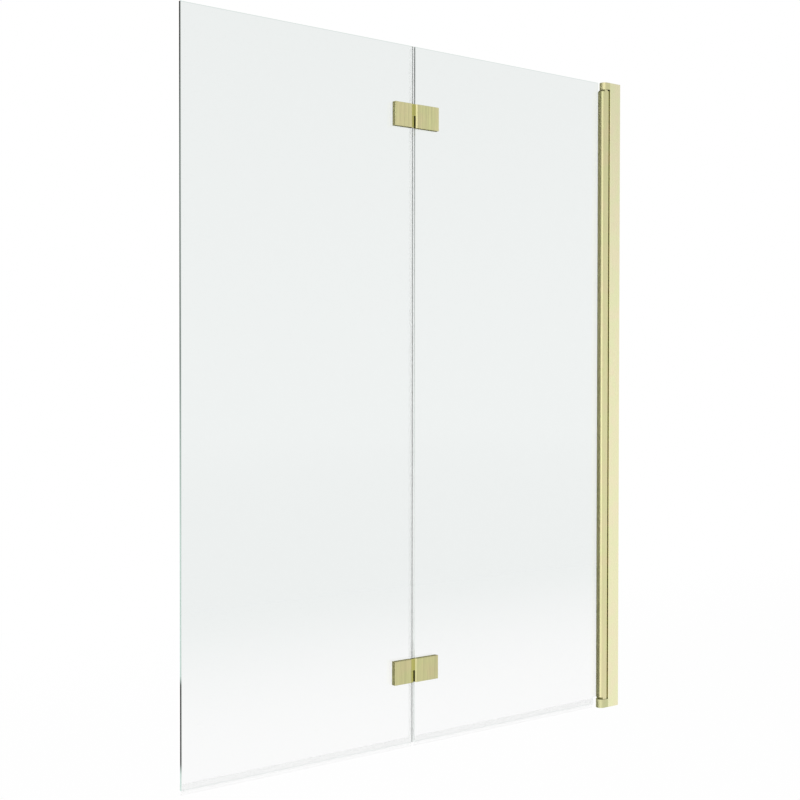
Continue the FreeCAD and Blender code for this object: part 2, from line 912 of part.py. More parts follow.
def sub_parts():
    """Every piece of the screen by its name."""
    parts = {
        "wall_channel": wall_channel(),
        "channel_top_cap": channel_top_cap(),
        "adjusting_screws": adjusting_screws(),
        "adjusting_nuts": adjusting_nuts(),
        "adjusting_screw_caps": adjusting_screw_caps(),
        "adjusting_profile": adjusting_profile(),
        "wiper_seal": wiper_seal(),
        "pivot_washers": pivot_washers(),
        "pivot_profile": pivot_profile(),
        "glazing_bond": glazing_bond(),
        "inner_glass": inner_glass(),
        "outer_glass": outer_glass(),
        "inner_bottom_seal": bottom_seal(inner_glass_x + seal_end_gap, bottom_notch_x - seal_end_gap),
        "outer_bottom_seal": bottom_seal(-screen_width, outer_glass_x - seal_end_gap),
        "fold_seal": fold_seal(),
        "hinge_bushes": hinge_bushes(),
        "hinge_washers": hinge_washers(),
    }
    for end in pivot_ends:
        parts[end + "_bracket"] = bracket(end)
        parts[end + "_bracket_screws"] = bracket_screws(end)
        parts[end + "_pivot_pin"] = pivot_pin(end)
        parts[end + "_pivot_bush"] = pivot_bush(end)
    for level in hinge_centres:
        parts[level + "_inner_hinge_plate"] = inner_hinge_plate(level)
        parts[level + "_outer_hinge_plate"] = outer_hinge_plate(level)
        parts[level + "_hinge_pin"] = hinge_pin(level)
    for leaf, side in (("inner", 1), ("outer", -1)):
        parts[leaf + "_hinge_gaskets"] = hinge_gaskets(side)
        parts[leaf + "_glass_discs"] = glass_discs(side)
        parts[leaf + "_disc_sleeves"] = disc_sleeves(side)
    return parts


os.makedirs("parts", exist_ok=True)
for name, shape in sub_parts().items():
    shape.exportStep("parts/" + name + ".step")
    print(name, len(shape.Solids), "solids", round(shape.Volume), "mm3", shape.isValid())
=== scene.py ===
"""The looks of a bath screen: two folding clear glass leaves on a pale brushed brass wall profile."""

import logging
import math
from dataclasses import dataclass, field
from enum import Enum
from typing import Callable, Iterable, Sequence

import bmesh
import bpy
from mathutils import Matrix, Vector


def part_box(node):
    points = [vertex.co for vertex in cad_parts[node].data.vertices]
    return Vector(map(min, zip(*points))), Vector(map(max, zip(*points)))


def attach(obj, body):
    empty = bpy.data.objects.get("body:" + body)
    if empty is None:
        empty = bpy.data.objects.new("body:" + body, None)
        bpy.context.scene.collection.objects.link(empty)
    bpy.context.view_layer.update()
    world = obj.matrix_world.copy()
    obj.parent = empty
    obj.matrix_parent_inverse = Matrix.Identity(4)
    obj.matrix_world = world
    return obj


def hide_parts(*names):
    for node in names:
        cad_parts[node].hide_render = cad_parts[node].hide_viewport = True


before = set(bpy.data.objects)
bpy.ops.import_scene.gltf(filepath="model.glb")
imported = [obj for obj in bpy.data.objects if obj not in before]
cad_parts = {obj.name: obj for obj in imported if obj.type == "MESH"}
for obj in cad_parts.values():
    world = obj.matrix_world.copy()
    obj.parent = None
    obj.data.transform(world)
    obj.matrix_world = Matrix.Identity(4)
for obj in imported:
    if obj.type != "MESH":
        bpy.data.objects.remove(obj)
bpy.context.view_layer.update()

MM = 0.001
LOG = logging.getLogger("bath_screen")

Colour = tuple[float, float, float]
Point = tuple[float, float, float]
Spot = tuple[float, float]
Socket = bpy.types.NodeSocket

WHITE = (1.0, 1.0, 1.0)
NOISE_LOW = 0.3
NOISE_MIDDLE = 0.5
NOISE_HIGH = 0.7


class Grain(Enum):
    """How a finish's lines are stretched along x, y and z."""

    UPRIGHT = (1.0, 1.0, 0.025)
    ALONG = (0.025, 1.0, 1.0)
    EVEN = (1.0, 1.0, 1.0)


class NodeBench:
    """The node tree of one material or world while it is being wired up."""

    def __init__(self, tree: bpy.types.NodeTree) -> None:
        """Empties the tree and keeps it.

        Args:
            tree: The node tree to fill.
        """
        self.tree = tree
        tree.nodes.clear()

    def add(self, kind: str, inputs: dict | None = None, **settings: object) -> bpy.types.Node:
        """Adds one node.

        Args:
            kind: The node's type name, without its Shader prefix.
            inputs: Input sockets by name or number, each a plain value or a socket to link from.
            settings: The node's own properties.

        Returns:
            The new node.
        """
        node = self.tree.nodes.new("ShaderNode" + kind)
        for name, value in settings.items():
            setattr(node, name, value)
        for key, value in (inputs or {}).items():
            socket = node.inputs[key]
            if isinstance(value, Socket):
                self.tree.links.new(value, socket)
            elif socket.type == "RGBA":
                socket.default_value = (*value, 1.0)
            else:
                socket.default_value = value
        return node

    def math(self, operation: str, *values: object) -> Socket:
        """Adds a Math node.

        Args:
            operation: The node's operation.
            values: Its numbers or the sockets to link from, in order.

        Returns:
            The result's socket.
        """
        node = self.add("Math", dict(enumerate(values)), operation=operation)
        return node.outputs[0]

    def facing(self, way: Socket, direction: Point) -> Socket:
        """How nearly a way points in a direction, 1 where it does."""
        return self.add("VectorMath", {0: way, 1: direction}, operation="DOT_PRODUCT").outputs["Value"]

    def between(self, value: Socket, spread: Sequence[object]) -> Socket:
        """Maps a value smoothly from one range to another.

        Args:
            value: The socket to read.
            spread: The lowest and highest value, and the results there, each a number or a socket.

        Returns:
            The result's socket.
        """
        names = ("From Min", "From Max", "To Min", "To Max")
        inputs = dict(zip(names, spread))
        inputs["Value"] = value
        return self.add("MapRange", inputs, interpolation_type="SMOOTHSTEP").outputs[0]

    def pattern(self, cell: float, grain: Grain, detail: float = 3.0) -> Socket:
        """Adds noise on the object's own coordinates.

        Args:
            cell: The size of one patch across its lines, in metres.
            grain: How the patches are stretched.
            detail: How many finer layers lie in it.

        Returns:
            The noise's value, about 0.5 in the mean.
        """
        place = self.add("TexCoord").outputs["Object"]
        stretch = tuple(share / cell for share in grain.value)
        mapping = self.add("Mapping", {"Vector": place, "Scale": stretch})
        noise = self.add("TexNoise", {"Vector": mapping.outputs[0], "Scale": 1.0, "Detail": detail})
        return noise.outputs[0]

    def ramp(self, value: Socket, stops: Iterable[tuple[float, Colour]]) -> Socket:
        """Adds a colour ramp.

        Args:
            value: The socket to read.
            stops: Each place on the ramp with its colour, in order.

        Returns:
            The colour's socket.
        """
        node = self.add("ValToRGB", {0: value})
        elements = node.color_ramp.elements
        for index, (place, colour) in enumerate(stops):
            element = elements[index] if index < len(elements) else elements.new(place)
            element.position = place
            element.color = (*colour, 1.0)
        return node.outputs[0]

    def blend(self, share: object, first: object, second: object, way: str = "MIX") -> Socket:
        """Mixes two colours.

        Args:
            share: How much of the second colour there is.
            first: The first colour, or the socket to link from.
            second: The second colour, or the socket to link from.
            way: How the two are mixed.

        Returns:
            The colour's socket.
        """
        node = self.add("Mix", {0: share, 6: first, 7: second}, data_type="RGBA", blend_type=way)
        return node.outputs[2]

    def choose(self, share: Socket, first: bpy.types.Node, second: bpy.types.Node) -> bpy.types.Node:
        """Mixes two shaders by the share of the second."""
        return self.add("MixShader", {0: share, 1: first.outputs[0], 2: second.outputs[0]})

    def mottle(self, pattern: Socket, colour: Colour, shades: tuple[float, float]) -> Socket:
        """A colour that a pattern makes darker and lighter, by the two shades."""
        low, high = (shaded(colour, shade) for shade in shades)
        return self.ramp(pattern, [(NOISE_LOW, low), (NOISE_HIGH, high)])

    def roughness(self, pattern: Socket, level: float, spread: float) -> Socket:
        """A roughness that follows a pattern by a spread to both sides of a level."""
        return self.between(pattern, (NOISE_LOW, NOISE_HIGH, level - spread, level + spread))

    def relief(self, height: Socket, strength: float, depth: float) -> Socket:
        """The normal of a surface that rises and sinks with a pattern."""
        return self.add("Bump", {"Height": height, "Strength": strength, "Distance": depth}).outputs[0]

    def show(self, shader: bpy.types.Node, output: str = "OutputMaterial") -> None:
        """Links a shader to the output."""
        self.add(output, {"Surface": shader.outputs[0]})


def shaded(colour: Colour, share: float) -> Colour:
    """A colour made lighter or darker by a share."""
    return tuple(min(1.0, part * share) for part in colour)


def start_material(name: str) -> tuple[bpy.types.Material, NodeBench]:
    """Starts a material.

    Args:
        name: The material's name.

    Returns:
        The material and its empty node tree.
    """
    material = bpy.data.materials.new(name)
    material.use_nodes = True
    return material, NodeBench(material.node_tree)


@dataclass(frozen=True)
class BrushedBrass:
    """Pale brass with fine brush lines, a little greener and redder from patch to patch."""

    name: str
    colour: Colour
    roughness: float
    contrast: float
    grain: Grain = Grain.UPRIGHT
    line: float = 0.35 * MM
    line_share: float = 0.4
    streak: float = 2.6 * MM
    patch: float = 28 * MM
    patch_range: tuple[float, float] = (0.35, 0.65)
    patch_hues: tuple[Colour, Colour] = ((0.96, 1.0, 0.95), (1.0, 0.965, 0.99))
    spread: float = 0.06
    relief: float = 0.02 * MM
    relief_strength: float = 0.35

    def tone(self, bench: NodeBench, colour: Socket) -> Socket:
        """The colour as it is where nothing shades it."""
        return colour

    def material(self) -> bpy.types.Material:
        """Builds the finish.

        Returns:
            The material.
        """
        material, bench = start_material(self.name)
        lines = bench.pattern(self.line, self.grain)
        streaks = bench.pattern(self.streak, self.grain)
        brush = bench.math(
            "ADD",
            bench.math("MULTIPLY", lines, self.line_share),
            bench.math("MULTIPLY", streaks, 1 - self.line_share),
        )
        low = shaded(self.colour, 1 - self.contrast)
        high = shaded(self.colour, 1 + self.contrast)
        colour = bench.ramp(brush, [(NOISE_LOW, low), (NOISE_MIDDLE, self.colour), (NOISE_HIGH, high)])
        patches = bench.pattern(self.patch, Grain.EVEN)
        hue = bench.ramp(patches, zip(self.patch_range, self.patch_hues))
        shader = bench.add(
            "BsdfPrincipled",
            {
                "Base Color": self.tone(bench, bench.blend(1.0, colour, hue, "MULTIPLY")),
                "Metallic": 1.0,
                "Roughness": bench.roughness(brush, self.roughness, self.spread),
                "Normal": bench.relief(lines, self.relief_strength, self.relief),
            },
        )
        bench.show(shader)
        return material


@dataclass(frozen=True)
class HingeBrass(BrushedBrass):
    """Brushed brass of the hinges, with painted shade in the recess where the knuckles lie between the
    plates.

    The plates' ends are lightened as painted light, and the gap between the plates holds darker painted
    shade. Both hinges stand on one line, so the upper one's pin and plate give the recess's place.
    """

    # Painted light on the ends, and painted shade in the recess and the gap
    end: float = 1.0
    end_facing: float = 0.9
    recess: Colour = (0.50, 0.48, 0.15)
    recess_half: float = 5.97 * MM
    recess_depths: tuple[float, float] = (0.6 * MM, 2.2 * MM)
    gap: Colour = (0.10, 0.09, 0.015)
    gap_depths: tuple[float, float] = (4.0 * MM, 5.5 * MM)

    def tone(self, bench: NodeBench, colour: Socket) -> Socket:
        """Paints light on the ends, and paints shade in the recess and darker shade in the gap.

        Args:
            bench: The material's nodes.
            colour: The plates' colour.

        Returns:
            The colour's socket.
        """
        pin_low, pin_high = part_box("upper_hinge_pin")
        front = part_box("upper_inner_hinge_plate")[0].y
        coords = bench.add("TexCoord").outputs
        normal = bench.add("SeparateXYZ", {0: coords["Normal"]}).outputs
        # Painted light: the faces along x, the plates' ends, are lightened
        ends = bench.math("GREATER_THAN", bench.math("ABSOLUTE", normal["X"]), self.end_facing)
        colour = bench.blend(ends, colour, (self.end, self.end, self.end), "MULTIPLY")
        # Painted shade near the pin, back from the plates' front, and darker still in the gap
        place = bench.add("SeparateXYZ", {0: coords["Object"]}).outputs
        aside = bench.math("SUBTRACT", place["X"], (pin_low.x + pin_high.x) / 2)
        near = bench.math("LESS_THAN", bench.math("ABSOLUTE", aside), self.recess_half)
        deep, deeper = (
            bench.between(place["Y"], (front + start, front + end, 0.0, 1.0))
            for start, end in (self.recess_depths, self.gap_depths)
        )
        recess = bench.blend(deeper, self.recess, self.gap)
        return bench.blend(bench.math("MULTIPLY", near, deep), colour, recess)


@dataclass(frozen=True)
class ClearGlass:
    """Clear float glass with pale green ground edges and painted shade on the upright ones along parts of
    the height.

    The shade gives the painted darkness of the upright edges at shares of the pane's height, standing in
    for what they mirror. The shade and the depth, the edge seen through the pane as a painted dark
    reflection, reach back from the front by shares of the thickness.
    """

    name: str
    node: str
    shade: tuple[tuple[float, float], ...]
    shade_reach: float
    depth_reach: float
    tint: Colour = (0.960, 0.964, 0.963)
    edge: Colour = (0.76, 0.97, 0.89)
    # Colours of the painted shade and of the painted dark reflection of an edge seen through the pane
    edge_dark: Colour = (0.015, 0.016, 0.0155)
    depth: Colour = (0.07, 0.09, 0.083)
    eased: Colour = (0.85, 0.885, 0.87)
    eased_low: Colour = (0.95, 0.965, 0.96)
    eased_low_shares: tuple[float, float] = (0.016, 0.03)
    eased_shade: float = 0.4
    solid: float = 0.97
    flat_facing: float = 0.95
    eased_facing: float = 0.3
    ior: float = 1.52
    mark: float = 90 * MM
    mark_range: tuple[float, float] = (0.35, 0.75)
    mark_roughness: float = 0.012

    def material(self) -> bpy.types.Material:
        """Builds the finish: faces that light passes, and edges that show the glass's own colour under
        painted shade.

        Returns:
            The material.
        """
        material, bench = start_material(self.name)
        front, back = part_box(self.node)
        coords = bench.add("TexCoord").outputs
        place = bench.add("SeparateXYZ", {0: coords["Object"]}).outputs
        normal = bench.add("SeparateXYZ", {0: coords["Normal"]}).outputs
        across, sideways, upwards = (bench.math("ABSOLUTE", normal[axis]) for axis in ("Y", "X", "Z"))
        inside = bench.add("NewGeometry").outputs["Backfacing"]
        height = bench.math("DIVIDE", place["Z"], back.z)
        behind = bench.math("SUBTRACT", place["Y"], front.y)
        behind = bench.math("DIVIDE", behind, back.y - front.y)
        # Painted shade of the upright edges, by height
        shade = bench.ramp(height, [(share, (dark, dark, dark)) for share, dark in self.shade])

        # Flat edges: the glass's own colour under painted shade, and a painted dark reflection seen from
        # inside
        least = bench.math("MULTIPLY_ADD", inside, self.eased_facing - self.flat_facing, self.flat_facing)
        upright = bench.math("GREATER_THAN", sideways, least)
        level = bench.math("GREATER_THAN", upwards, self.flat_facing)
        level = bench.math("MULTIPLY", level, bench.math("SUBTRACT", 1.0, inside))
        reach = bench.math("MULTIPLY_ADD", inside, self.depth_reach - self.shade_reach, self.shade_reach)
        near = bench.math("MULTIPLY", upright, bench.math("LESS_THAN", behind, reach))
        rim = bench.math("MAXIMUM", near, level)
        flat = bench.blend(bench.math("MULTIPLY", shade, upright), self.edge, self.edge_dark)
        rim_colour = bench.blend(inside, flat, self.depth)

        # Eased corners, which only tint what lies behind them, darkened by the painted shade and paler near
        # the bottom
        ground = bench.math("LESS_THAN", across, self.flat_facing)
        plain = bench.math("SUBTRACT", ground, rim)
        low = bench.math("MAXIMUM", upright, bench.between(height, (*self.eased_low_shares, 1.0, 0.0)))
        eased = bench.blend(low, self.eased, self.eased_low)
        corner = bench.math("GREATER_THAN", sideways, self.eased_facing)
        corner = bench.math("MULTIPLY", corner, bench.math("SUBTRACT", 1.0, upright))
        corner = bench.math("MULTIPLY", corner, bench.math("MULTIPLY", shade, self.eased_shade))
        eased = bench.blend(corner, eased, self.edge_dark)

        # Glass, which shadows and the light of matt surfaces pass straight through
        marks = bench.pattern(self.mark, Grain.EVEN)
        shader = bench.add(
            "BsdfPrincipled",
            {
                "Base Color": bench.blend(rim, self.tint, rim_colour),
                "Roughness": bench.between(marks, (*self.mark_range, 0.0, self.mark_roughness)),
                "IOR": self.ior,
                "Transmission Weight": bench.math(
                    "SUBTRACT", 1.0, bench.math("MULTIPLY", rim, self.solid),
                ),
            },
        )
        clear = bench.add("BsdfTransparent", {"Color": bench.blend(plain, self.tint, eased)})
        path = bench.add("LightPath").outputs
        light = bench.math("MAXIMUM", path["Is Shadow Ray"], path["Is Diffuse Ray"])
        bench.show(bench.choose(bench.math("MAXIMUM", plain, light), shader, clear))
        return material


@dataclass(frozen=True)
class ClearPlastic:
    """Soft clear plastic of the seals, with faint draw lines along its length."""

    name: str
    grain: Grain
    body: float = 0.075
    tint: Colour = (0.88, 0.89, 0.885)
    shades: tuple[float, float] = (0.97, 1.0)
    roughness: float = 0.30
    spread: float = 0.04
    ior: float = 1.45
    gloss: float = 0.25
    line: float = 0.5 * MM
    relief: float = 0.02 * MM
    relief_strength: float = 0.05

    def material(self) -> bpy.types.Material:
        """Builds the finish.

        Returns:
            The material.
        """
        material, bench = start_material(self.name)
        lines = bench.pattern(self.line, self.grain)
        shader = bench.add(
            "BsdfPrincipled",
            {
                "Base Color": bench.mottle(lines, self.tint, self.shades),
                "Roughness": bench.roughness(lines, self.roughness, self.spread),
                "IOR": self.ior,
                "Specular IOR Level": self.gloss,
                "Alpha": self.body,
                "Normal": bench.relief(lines, self.relief_strength, self.relief),
            },
        )
        bench.show(shader)
        return material


@dataclass(frozen=True)
class MouldedPlastic:
    """Opaque moulded plastic or rubber with a fine matt texture."""

    name: str
    colour: Colour
    roughness: float
    shades: tuple[float, float] = (0.92, 1.05)
    spread: float = 0.05
    patch: float = 12 * MM
    speck: float = 0.4 * MM
    relief: float = 0.03 * MM
    relief_strength: float = 0.3

    def material(self) -> bpy.types.Material:
        """Builds the finish.

        Returns:
            The material.
        """
        material, bench = start_material(self.name)
        specks = bench.pattern(self.speck, Grain.EVEN)
        patches = bench.pattern(self.patch, Grain.EVEN)
        shader = bench.add(
            "BsdfPrincipled",
            {
                "Base Color": bench.mottle(patches, self.colour, self.shades),
                "Roughness": bench.roughness(specks, self.roughness, self.spread),
                "Normal": bench.relief(specks, self.relief_strength, self.relief),
            },
        )
        bench.show(shader)
        return material


@dataclass(frozen=True)
class TurnedSteel:
    """Stainless steel with fine turning lines."""

    name: str = "turned_steel"
    colour: Colour = (0.62, 0.62, 0.61)
    shades: tuple[float, float] = (0.92, 1.06)
    roughness: float = 0.28
    spread: float = 0.06
    line: float = 0.25 * MM

    def material(self) -> bpy.types.Material:
        """Builds the finish.

        Returns:
            The material.
        """
        material, bench = start_material(self.name)
        lines = bench.pattern(self.line, Grain.EVEN)
        shader = bench.add(
            "BsdfPrincipled",
            {
                "Base Color": bench.mottle(lines, self.colour, self.shades),
                "Metallic": 1.0,
                "Roughness": bench.roughness(lines, self.roughness, self.spread),
            },
        )
        bench.show(shader)
        return material


# Painted shade of each pane's upright edges: their darkness at shares of the pane's height
OUTER_SHADE = (
    (0.0, 0.0), (0.027, 0.1), (0.04, 1.0), (0.14, 1.0), (0.152, 0.12),
    (0.33, 0.15), (0.55, 0.78), (0.8, 0.8), (0.95, 1.0),
)
INNER_SHADE = (
    (0.0, 0.0), (0.45, 0.0), (0.7, 0.38), (0.87, 0.6), (0.93, 0.95), (0.97, 1.0), (1.0, 0.85),
)


class Finishes:
    """Every finish of the screen, built once."""

    def __init__(self) -> None:
        """Builds the materials."""
        self.channel = BrushedBrass("channel_brass", (0.89, 0.855, 0.56), 0.28, 0.05).material()
        self.profile = BrushedBrass("profile_brass", (0.75, 0.71, 0.405), 0.30, 0.09).material()
        # The bottom bracket's brass: a darker copy of the profile brass, as painted shade
        self.foot = BrushedBrass("foot_brass_shaded_copy", (0.66, 0.65, 0.375), 0.5, 0.06, Grain.EVEN).material()
        # Dark brass on the adjusting profile, which shows only in a narrow gap: painted shade
        self.painted_shade = BrushedBrass("painted_shade_brass", (0.28, 0.24, 0.07), 0.34, 0.05).material()
        self.trim = BrushedBrass("trim_brass", (0.62, 0.58, 0.33), 0.30, 0.06, Grain.EVEN).material()
        # Lit and shaded copies of one hinge brass: the lower hinge darker as painted shade, its ends
        # lightened more as painted light
        self.upper_hinge = HingeBrass(
            "upper_hinge_brass_lit_copy", (0.745, 0.713, 0.388), 0.42, 0.18, end=1.06,
        ).material()
        self.lower_hinge = HingeBrass(
            "lower_hinge_brass_shaded_copy", (0.636, 0.604, 0.325), 0.42, 0.18, end=1.35,
        ).material()
        self.outer_glass = ClearGlass(
            "outer_glass_dressed", "outer_glass", OUTER_SHADE, 1.0, 0.9,
        ).material()
        self.inner_glass = ClearGlass(
            "inner_glass_dressed", "inner_glass", INNER_SHADE, 0.47, 0.0, edge=(0.88, 0.93, 0.91),
        ).material()
        self.seal_along = ClearPlastic("clear_seal_along", Grain.ALONG).material()
        self.seal_upright = ClearPlastic("clear_seal_upright", Grain.UPRIGHT, body=0.10).material()
        self.gasket = MouldedPlastic("grey_gasket_dressed", (0.11, 0.115, 0.11), 0.6).material()
        self.nylon = MouldedPlastic("pale_nylon_dressed", (0.76, 0.75, 0.71), 0.45).material()
        self.steel = TurnedSteel().material()


def dress(material: bpy.types.Material, *nodes: str) -> None:
    """Gives CAD nodes a finish.

    Args:
        material: The finish.
        nodes: The nodes' names.
    """
    for name in nodes:
        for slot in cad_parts[name].material_slots:
            slot.material = material
        LOG.info("dressed %s in %s", name, material.name)


class Element(Enum):
    """What is selected in edit mode."""

    EDGE = "EDGE"
    FACE = "FACE"


def pick(piece: bpy.types.Object, element: Element, choose: Callable[[bmesh.types.BMesh], list]) -> None:
    """Selects edges or faces of a piece in edit mode, and nothing else.

    Args:
        piece: The piece.
        element: What is selected.
        choose: Gives those of the mesh that are wanted.
    """
    bpy.ops.mesh.select_mode(type=element.value)
    bpy.ops.mesh.select_all(action="DESELECT")
    mesh = bmesh.from_edit_mesh(piece.data)
    for chosen in choose(mesh):
        chosen.select_set(True)
    mesh.select_flush_mode()
    bmesh.update_edit_mesh(piece.data)


def pick_faces(piece: bpy.types.Object, way: Point, least: float = 0.9) -> None:
    """Selects the faces of a piece in edit mode that look one way.

    Args:
        piece: The piece.
        way: The way, as a direction.
        least: How nearly they look that way, 1 being exactly.
    """
    goal = Vector(way)
    pick(piece, Element.FACE, lambda mesh: [face for face in mesh.faces if face.normal.dot(goal) > least])


def pick_edge(piece: bpy.types.Object, place: Point) -> None:
    """Selects the one edge of a piece in edit mode whose middle is nearest to a place.

    Args:
        piece: The piece.
        place: The place.
    """
    goal = Vector(place)

    def distance(edge: bmesh.types.BMEdge) -> float:
        """How far the edge's middle is from the place."""
        return ((edge.verts[0].co + edge.verts[1].co) / 2 - goal).length

    pick(piece, Element.EDGE, lambda mesh: [min(mesh.edges, key=distance)])


def join_pieces(pieces: Sequence[bpy.types.Object]) -> bpy.types.Object:
    """Joins pieces into the first of them.

    Args:
        pieces: The pieces, in object mode.

    Returns:
        The joined piece.
    """
    bpy.ops.object.select_all(action="DESELECT")
    for piece in pieces:
        piece.select_set(True)
    bpy.context.view_layer.objects.active = pieces[0]
    bpy.ops.object.join()
    return pieces[0]


EASED_SEGMENTS = 2
EASED_FROM = math.radians(35)
SMOOTH_UP_TO = math.radians(40)


def finish_piece(piece: bpy.types.Object, edge_radius: float, material: bpy.types.Material) -> None:
    """Eases a modelled piece's edges, shades it and gives it its finish.

    Args:
        piece: The piece, in object mode.
        edge_radius: The radius of its eased edges.
        material: Its finish.
    """
    bevel = piece.modifiers.new("eased_edges", "BEVEL")
    bevel.width = edge_radius
    bevel.segments = EASED_SEGMENTS
    bevel.limit_method = "ANGLE"
    bevel.angle_limit = EASED_FROM
    bpy.ops.object.modifier_apply(modifier=bevel.name)
    bpy.ops.object.shade_smooth_by_angle(angle=SMOOTH_UP_TO)
    piece.data.materials.clear()
    piece.data.materials.append(material)


@dataclass
class StripDraft:
    """A strip's section drawn cell by cell in edit mode, then drawn out to its length.

    The section lies in the drawing plane, u across and v up, and the strip runs along w.
    """

    name: str
    low: Spot
    high: Spot
    merge: float = 0.001 * MM
    piece: bpy.types.Object = field(init=False)

    def __post_init__(self) -> None:
        """Starts the section with its first cell, between the low and the high corner."""
        (low_u, low_v), (high_u, high_v) = self.low, self.high
        middle = ((low_u + high_u) / 2, (low_v + high_v) / 2, 0.0)
        bpy.ops.object.select_all(action="DESELECT")
        bpy.ops.mesh.primitive_plane_add(size=1.0, location=middle)
        self.piece = bpy.context.active_object
        self.piece.name = self.name
        self.piece.scale = (high_u - low_u, high_v - low_v, 1.0)
        bpy.ops.object.transform_apply(location=True, rotation=True, scale=True)
        bpy.ops.object.mode_set(mode="EDIT")

    def grow(self, edge: Spot, step: Spot, pinch: float = 1.0) -> Spot:
        """Extrudes one edge of the section.

        Args:
            edge: The middle of the edge (u, v).
            step: How far the new edge lies from it (u, v).
            pinch: The new edge's length as a share of the old one's.

        Returns:
            The middle of the new edge (u, v).
        """
        pick_edge(self.piece, (*edge, 0.0))
        bpy.ops.mesh.extrude_edges_move(TRANSFORM_OT_translate={"value": (*step, 0.0)})
        end = (edge[0] + step[0], edge[1] + step[1])
        if pinch != 1.0:
            bpy.ops.transform.resize(value=(pinch, pinch, 1.0), center_override=(*end, 0.0))
        return end

    def draw_out(self, start: float, length: float, turn: Matrix) -> bpy.types.Object:
        """Draws the section out along w and lays the strip in its place.

        Args:
            start: Where the strip begins along w.
            length: How far it runs.
            turn: Takes the drawing's u, v and w to the part's x, y and z.

        Returns:
            The piece, in object mode.
        """
        bpy.ops.mesh.select_all(action="SELECT")
        bpy.ops.mesh.remove_doubles(threshold=self.merge)
        bpy.ops.mesh.select_all(action="SELECT")
        bpy.ops.mesh.extrude_region_move(TRANSFORM_OT_translate={"value": (0.0, 0.0, length)})
        bpy.ops.mesh.select_all(action="SELECT")
        bpy.ops.mesh.normals_make_consistent(inside=False)
        bpy.ops.object.mode_set(mode="OBJECT")
        self.piece.matrix_world = turn @ Matrix.Translation((0.0, 0.0, start))
        bpy.ops.object.transform_apply(location=True, rotation=True, scale=True)
        return self.piece


# Turns that lay a drawing's u across the pane and v from its edge inwards
ALONG_X = Matrix(((0, 0, 1, 0), (1, 0, 0, 0), (0, 1, 0, 0), (0, 0, 0, 1)))
ALONG_Z = Matrix(((0, -1, 0, 0), (1, 0, 0, 0), (0, 0, 1, 0), (0, 0, 0, 1)))


@dataclass(frozen=True)
class ClipSection:
    """The section of a clear clip: a web on a pane's edge, two tapered legs that grip the pane, and a fin.

    Each step of the fin has its share of the bend, its share of the fin's reach, and its end's width as a
    share of its start's.
    """

    web: float
    leg: float
    leg_tip_share: float
    fin_steps: tuple[tuple[float, float, float], ...]
    fin_bend: float = 0.0
    fin: float = 1.2 * MM
    leg_root_share: float = 0.6
    air: float = 0.04 * MM

    def draw(
        self, name: str, faces: tuple[float, float], edge: float, leg_end: float, fin_end: float,
    ) -> StripDraft:
        """Draws the section, u across the pane and v from its edge inwards.

        Args:
            name: The piece's name.
            faces: The pane's two faces along u.
            edge: The pane's edge along v.
            leg_end: Where the legs end along v.
            fin_end: Where the fin ends along v.

        Returns:
            The section, in edit mode.
        """
        middle = sum(faces) / 2
        half = self.fin / 2
        web_low, web_high = edge - self.web, edge - self.air
        web_middle = (web_low + web_high) / 2
        draft = StripDraft(name, (middle - half, web_low), (middle + half, web_high))
        straight = (leg_end - web_high) * self.leg_root_share
        tapered = (leg_end - web_high) - straight
        for side, face in zip((-1, 1), faces):
            start = middle + side * half
            grip = draft.grow((start, web_middle), (face + side * self.air - start, 0.0))
            draft.grow(grip, (side * self.leg, 0.0))
            lean = -side * self.leg * (1 - self.leg_tip_share) / 2
            taper = draft.grow((grip[0] + side * self.leg / 2, web_high), (0.0, straight))
            draft.grow(taper, (lean, tapered), self.leg_tip_share)
        tip = (middle, web_low)
        for bend_share, reach_share, pinch in self.fin_steps:
            step = (self.fin_bend * bend_share, (fin_end - web_low) * reach_share)
            tip = draft.grow(tip, step, pinch)
        return draft


@dataclass
class DripSeal:
    """Clear clip along a pane's lower edge, with a drip fin that bends towards the bath."""

    name: str
    node: str
    pane: str
    body: str
    section: ClipSection = ClipSection(
        web=1.5 * MM,
        leg=1.2 * MM,
        leg_tip_share=0.6,
        fin_steps=((0.0, 0.45, 0.85), (0.35, 0.35, 0.8), (0.65, 0.2, 0.8)),
        fin_bend=1.2 * MM,
    )
    edge_radius: float = 0.22 * MM

    def build(self, finishes: Finishes) -> None:
        """Models the seal in the place of its CAD solid.

        Args:
            finishes: The screen's finishes.
        """
        low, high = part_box(self.node)
        pane_low, pane_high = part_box(self.pane)
        draft = self.section.draw(self.name, (pane_low.y, pane_high.y), pane_low.z, high.z, low.z)
        piece = draft.draw_out(low.x, high.x - low.x, ALONG_X)
        finish_piece(piece, self.edge_radius, finishes.seal_along)
        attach(piece, self.body)
        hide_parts(self.node)
        LOG.info("built %s", piece.name)


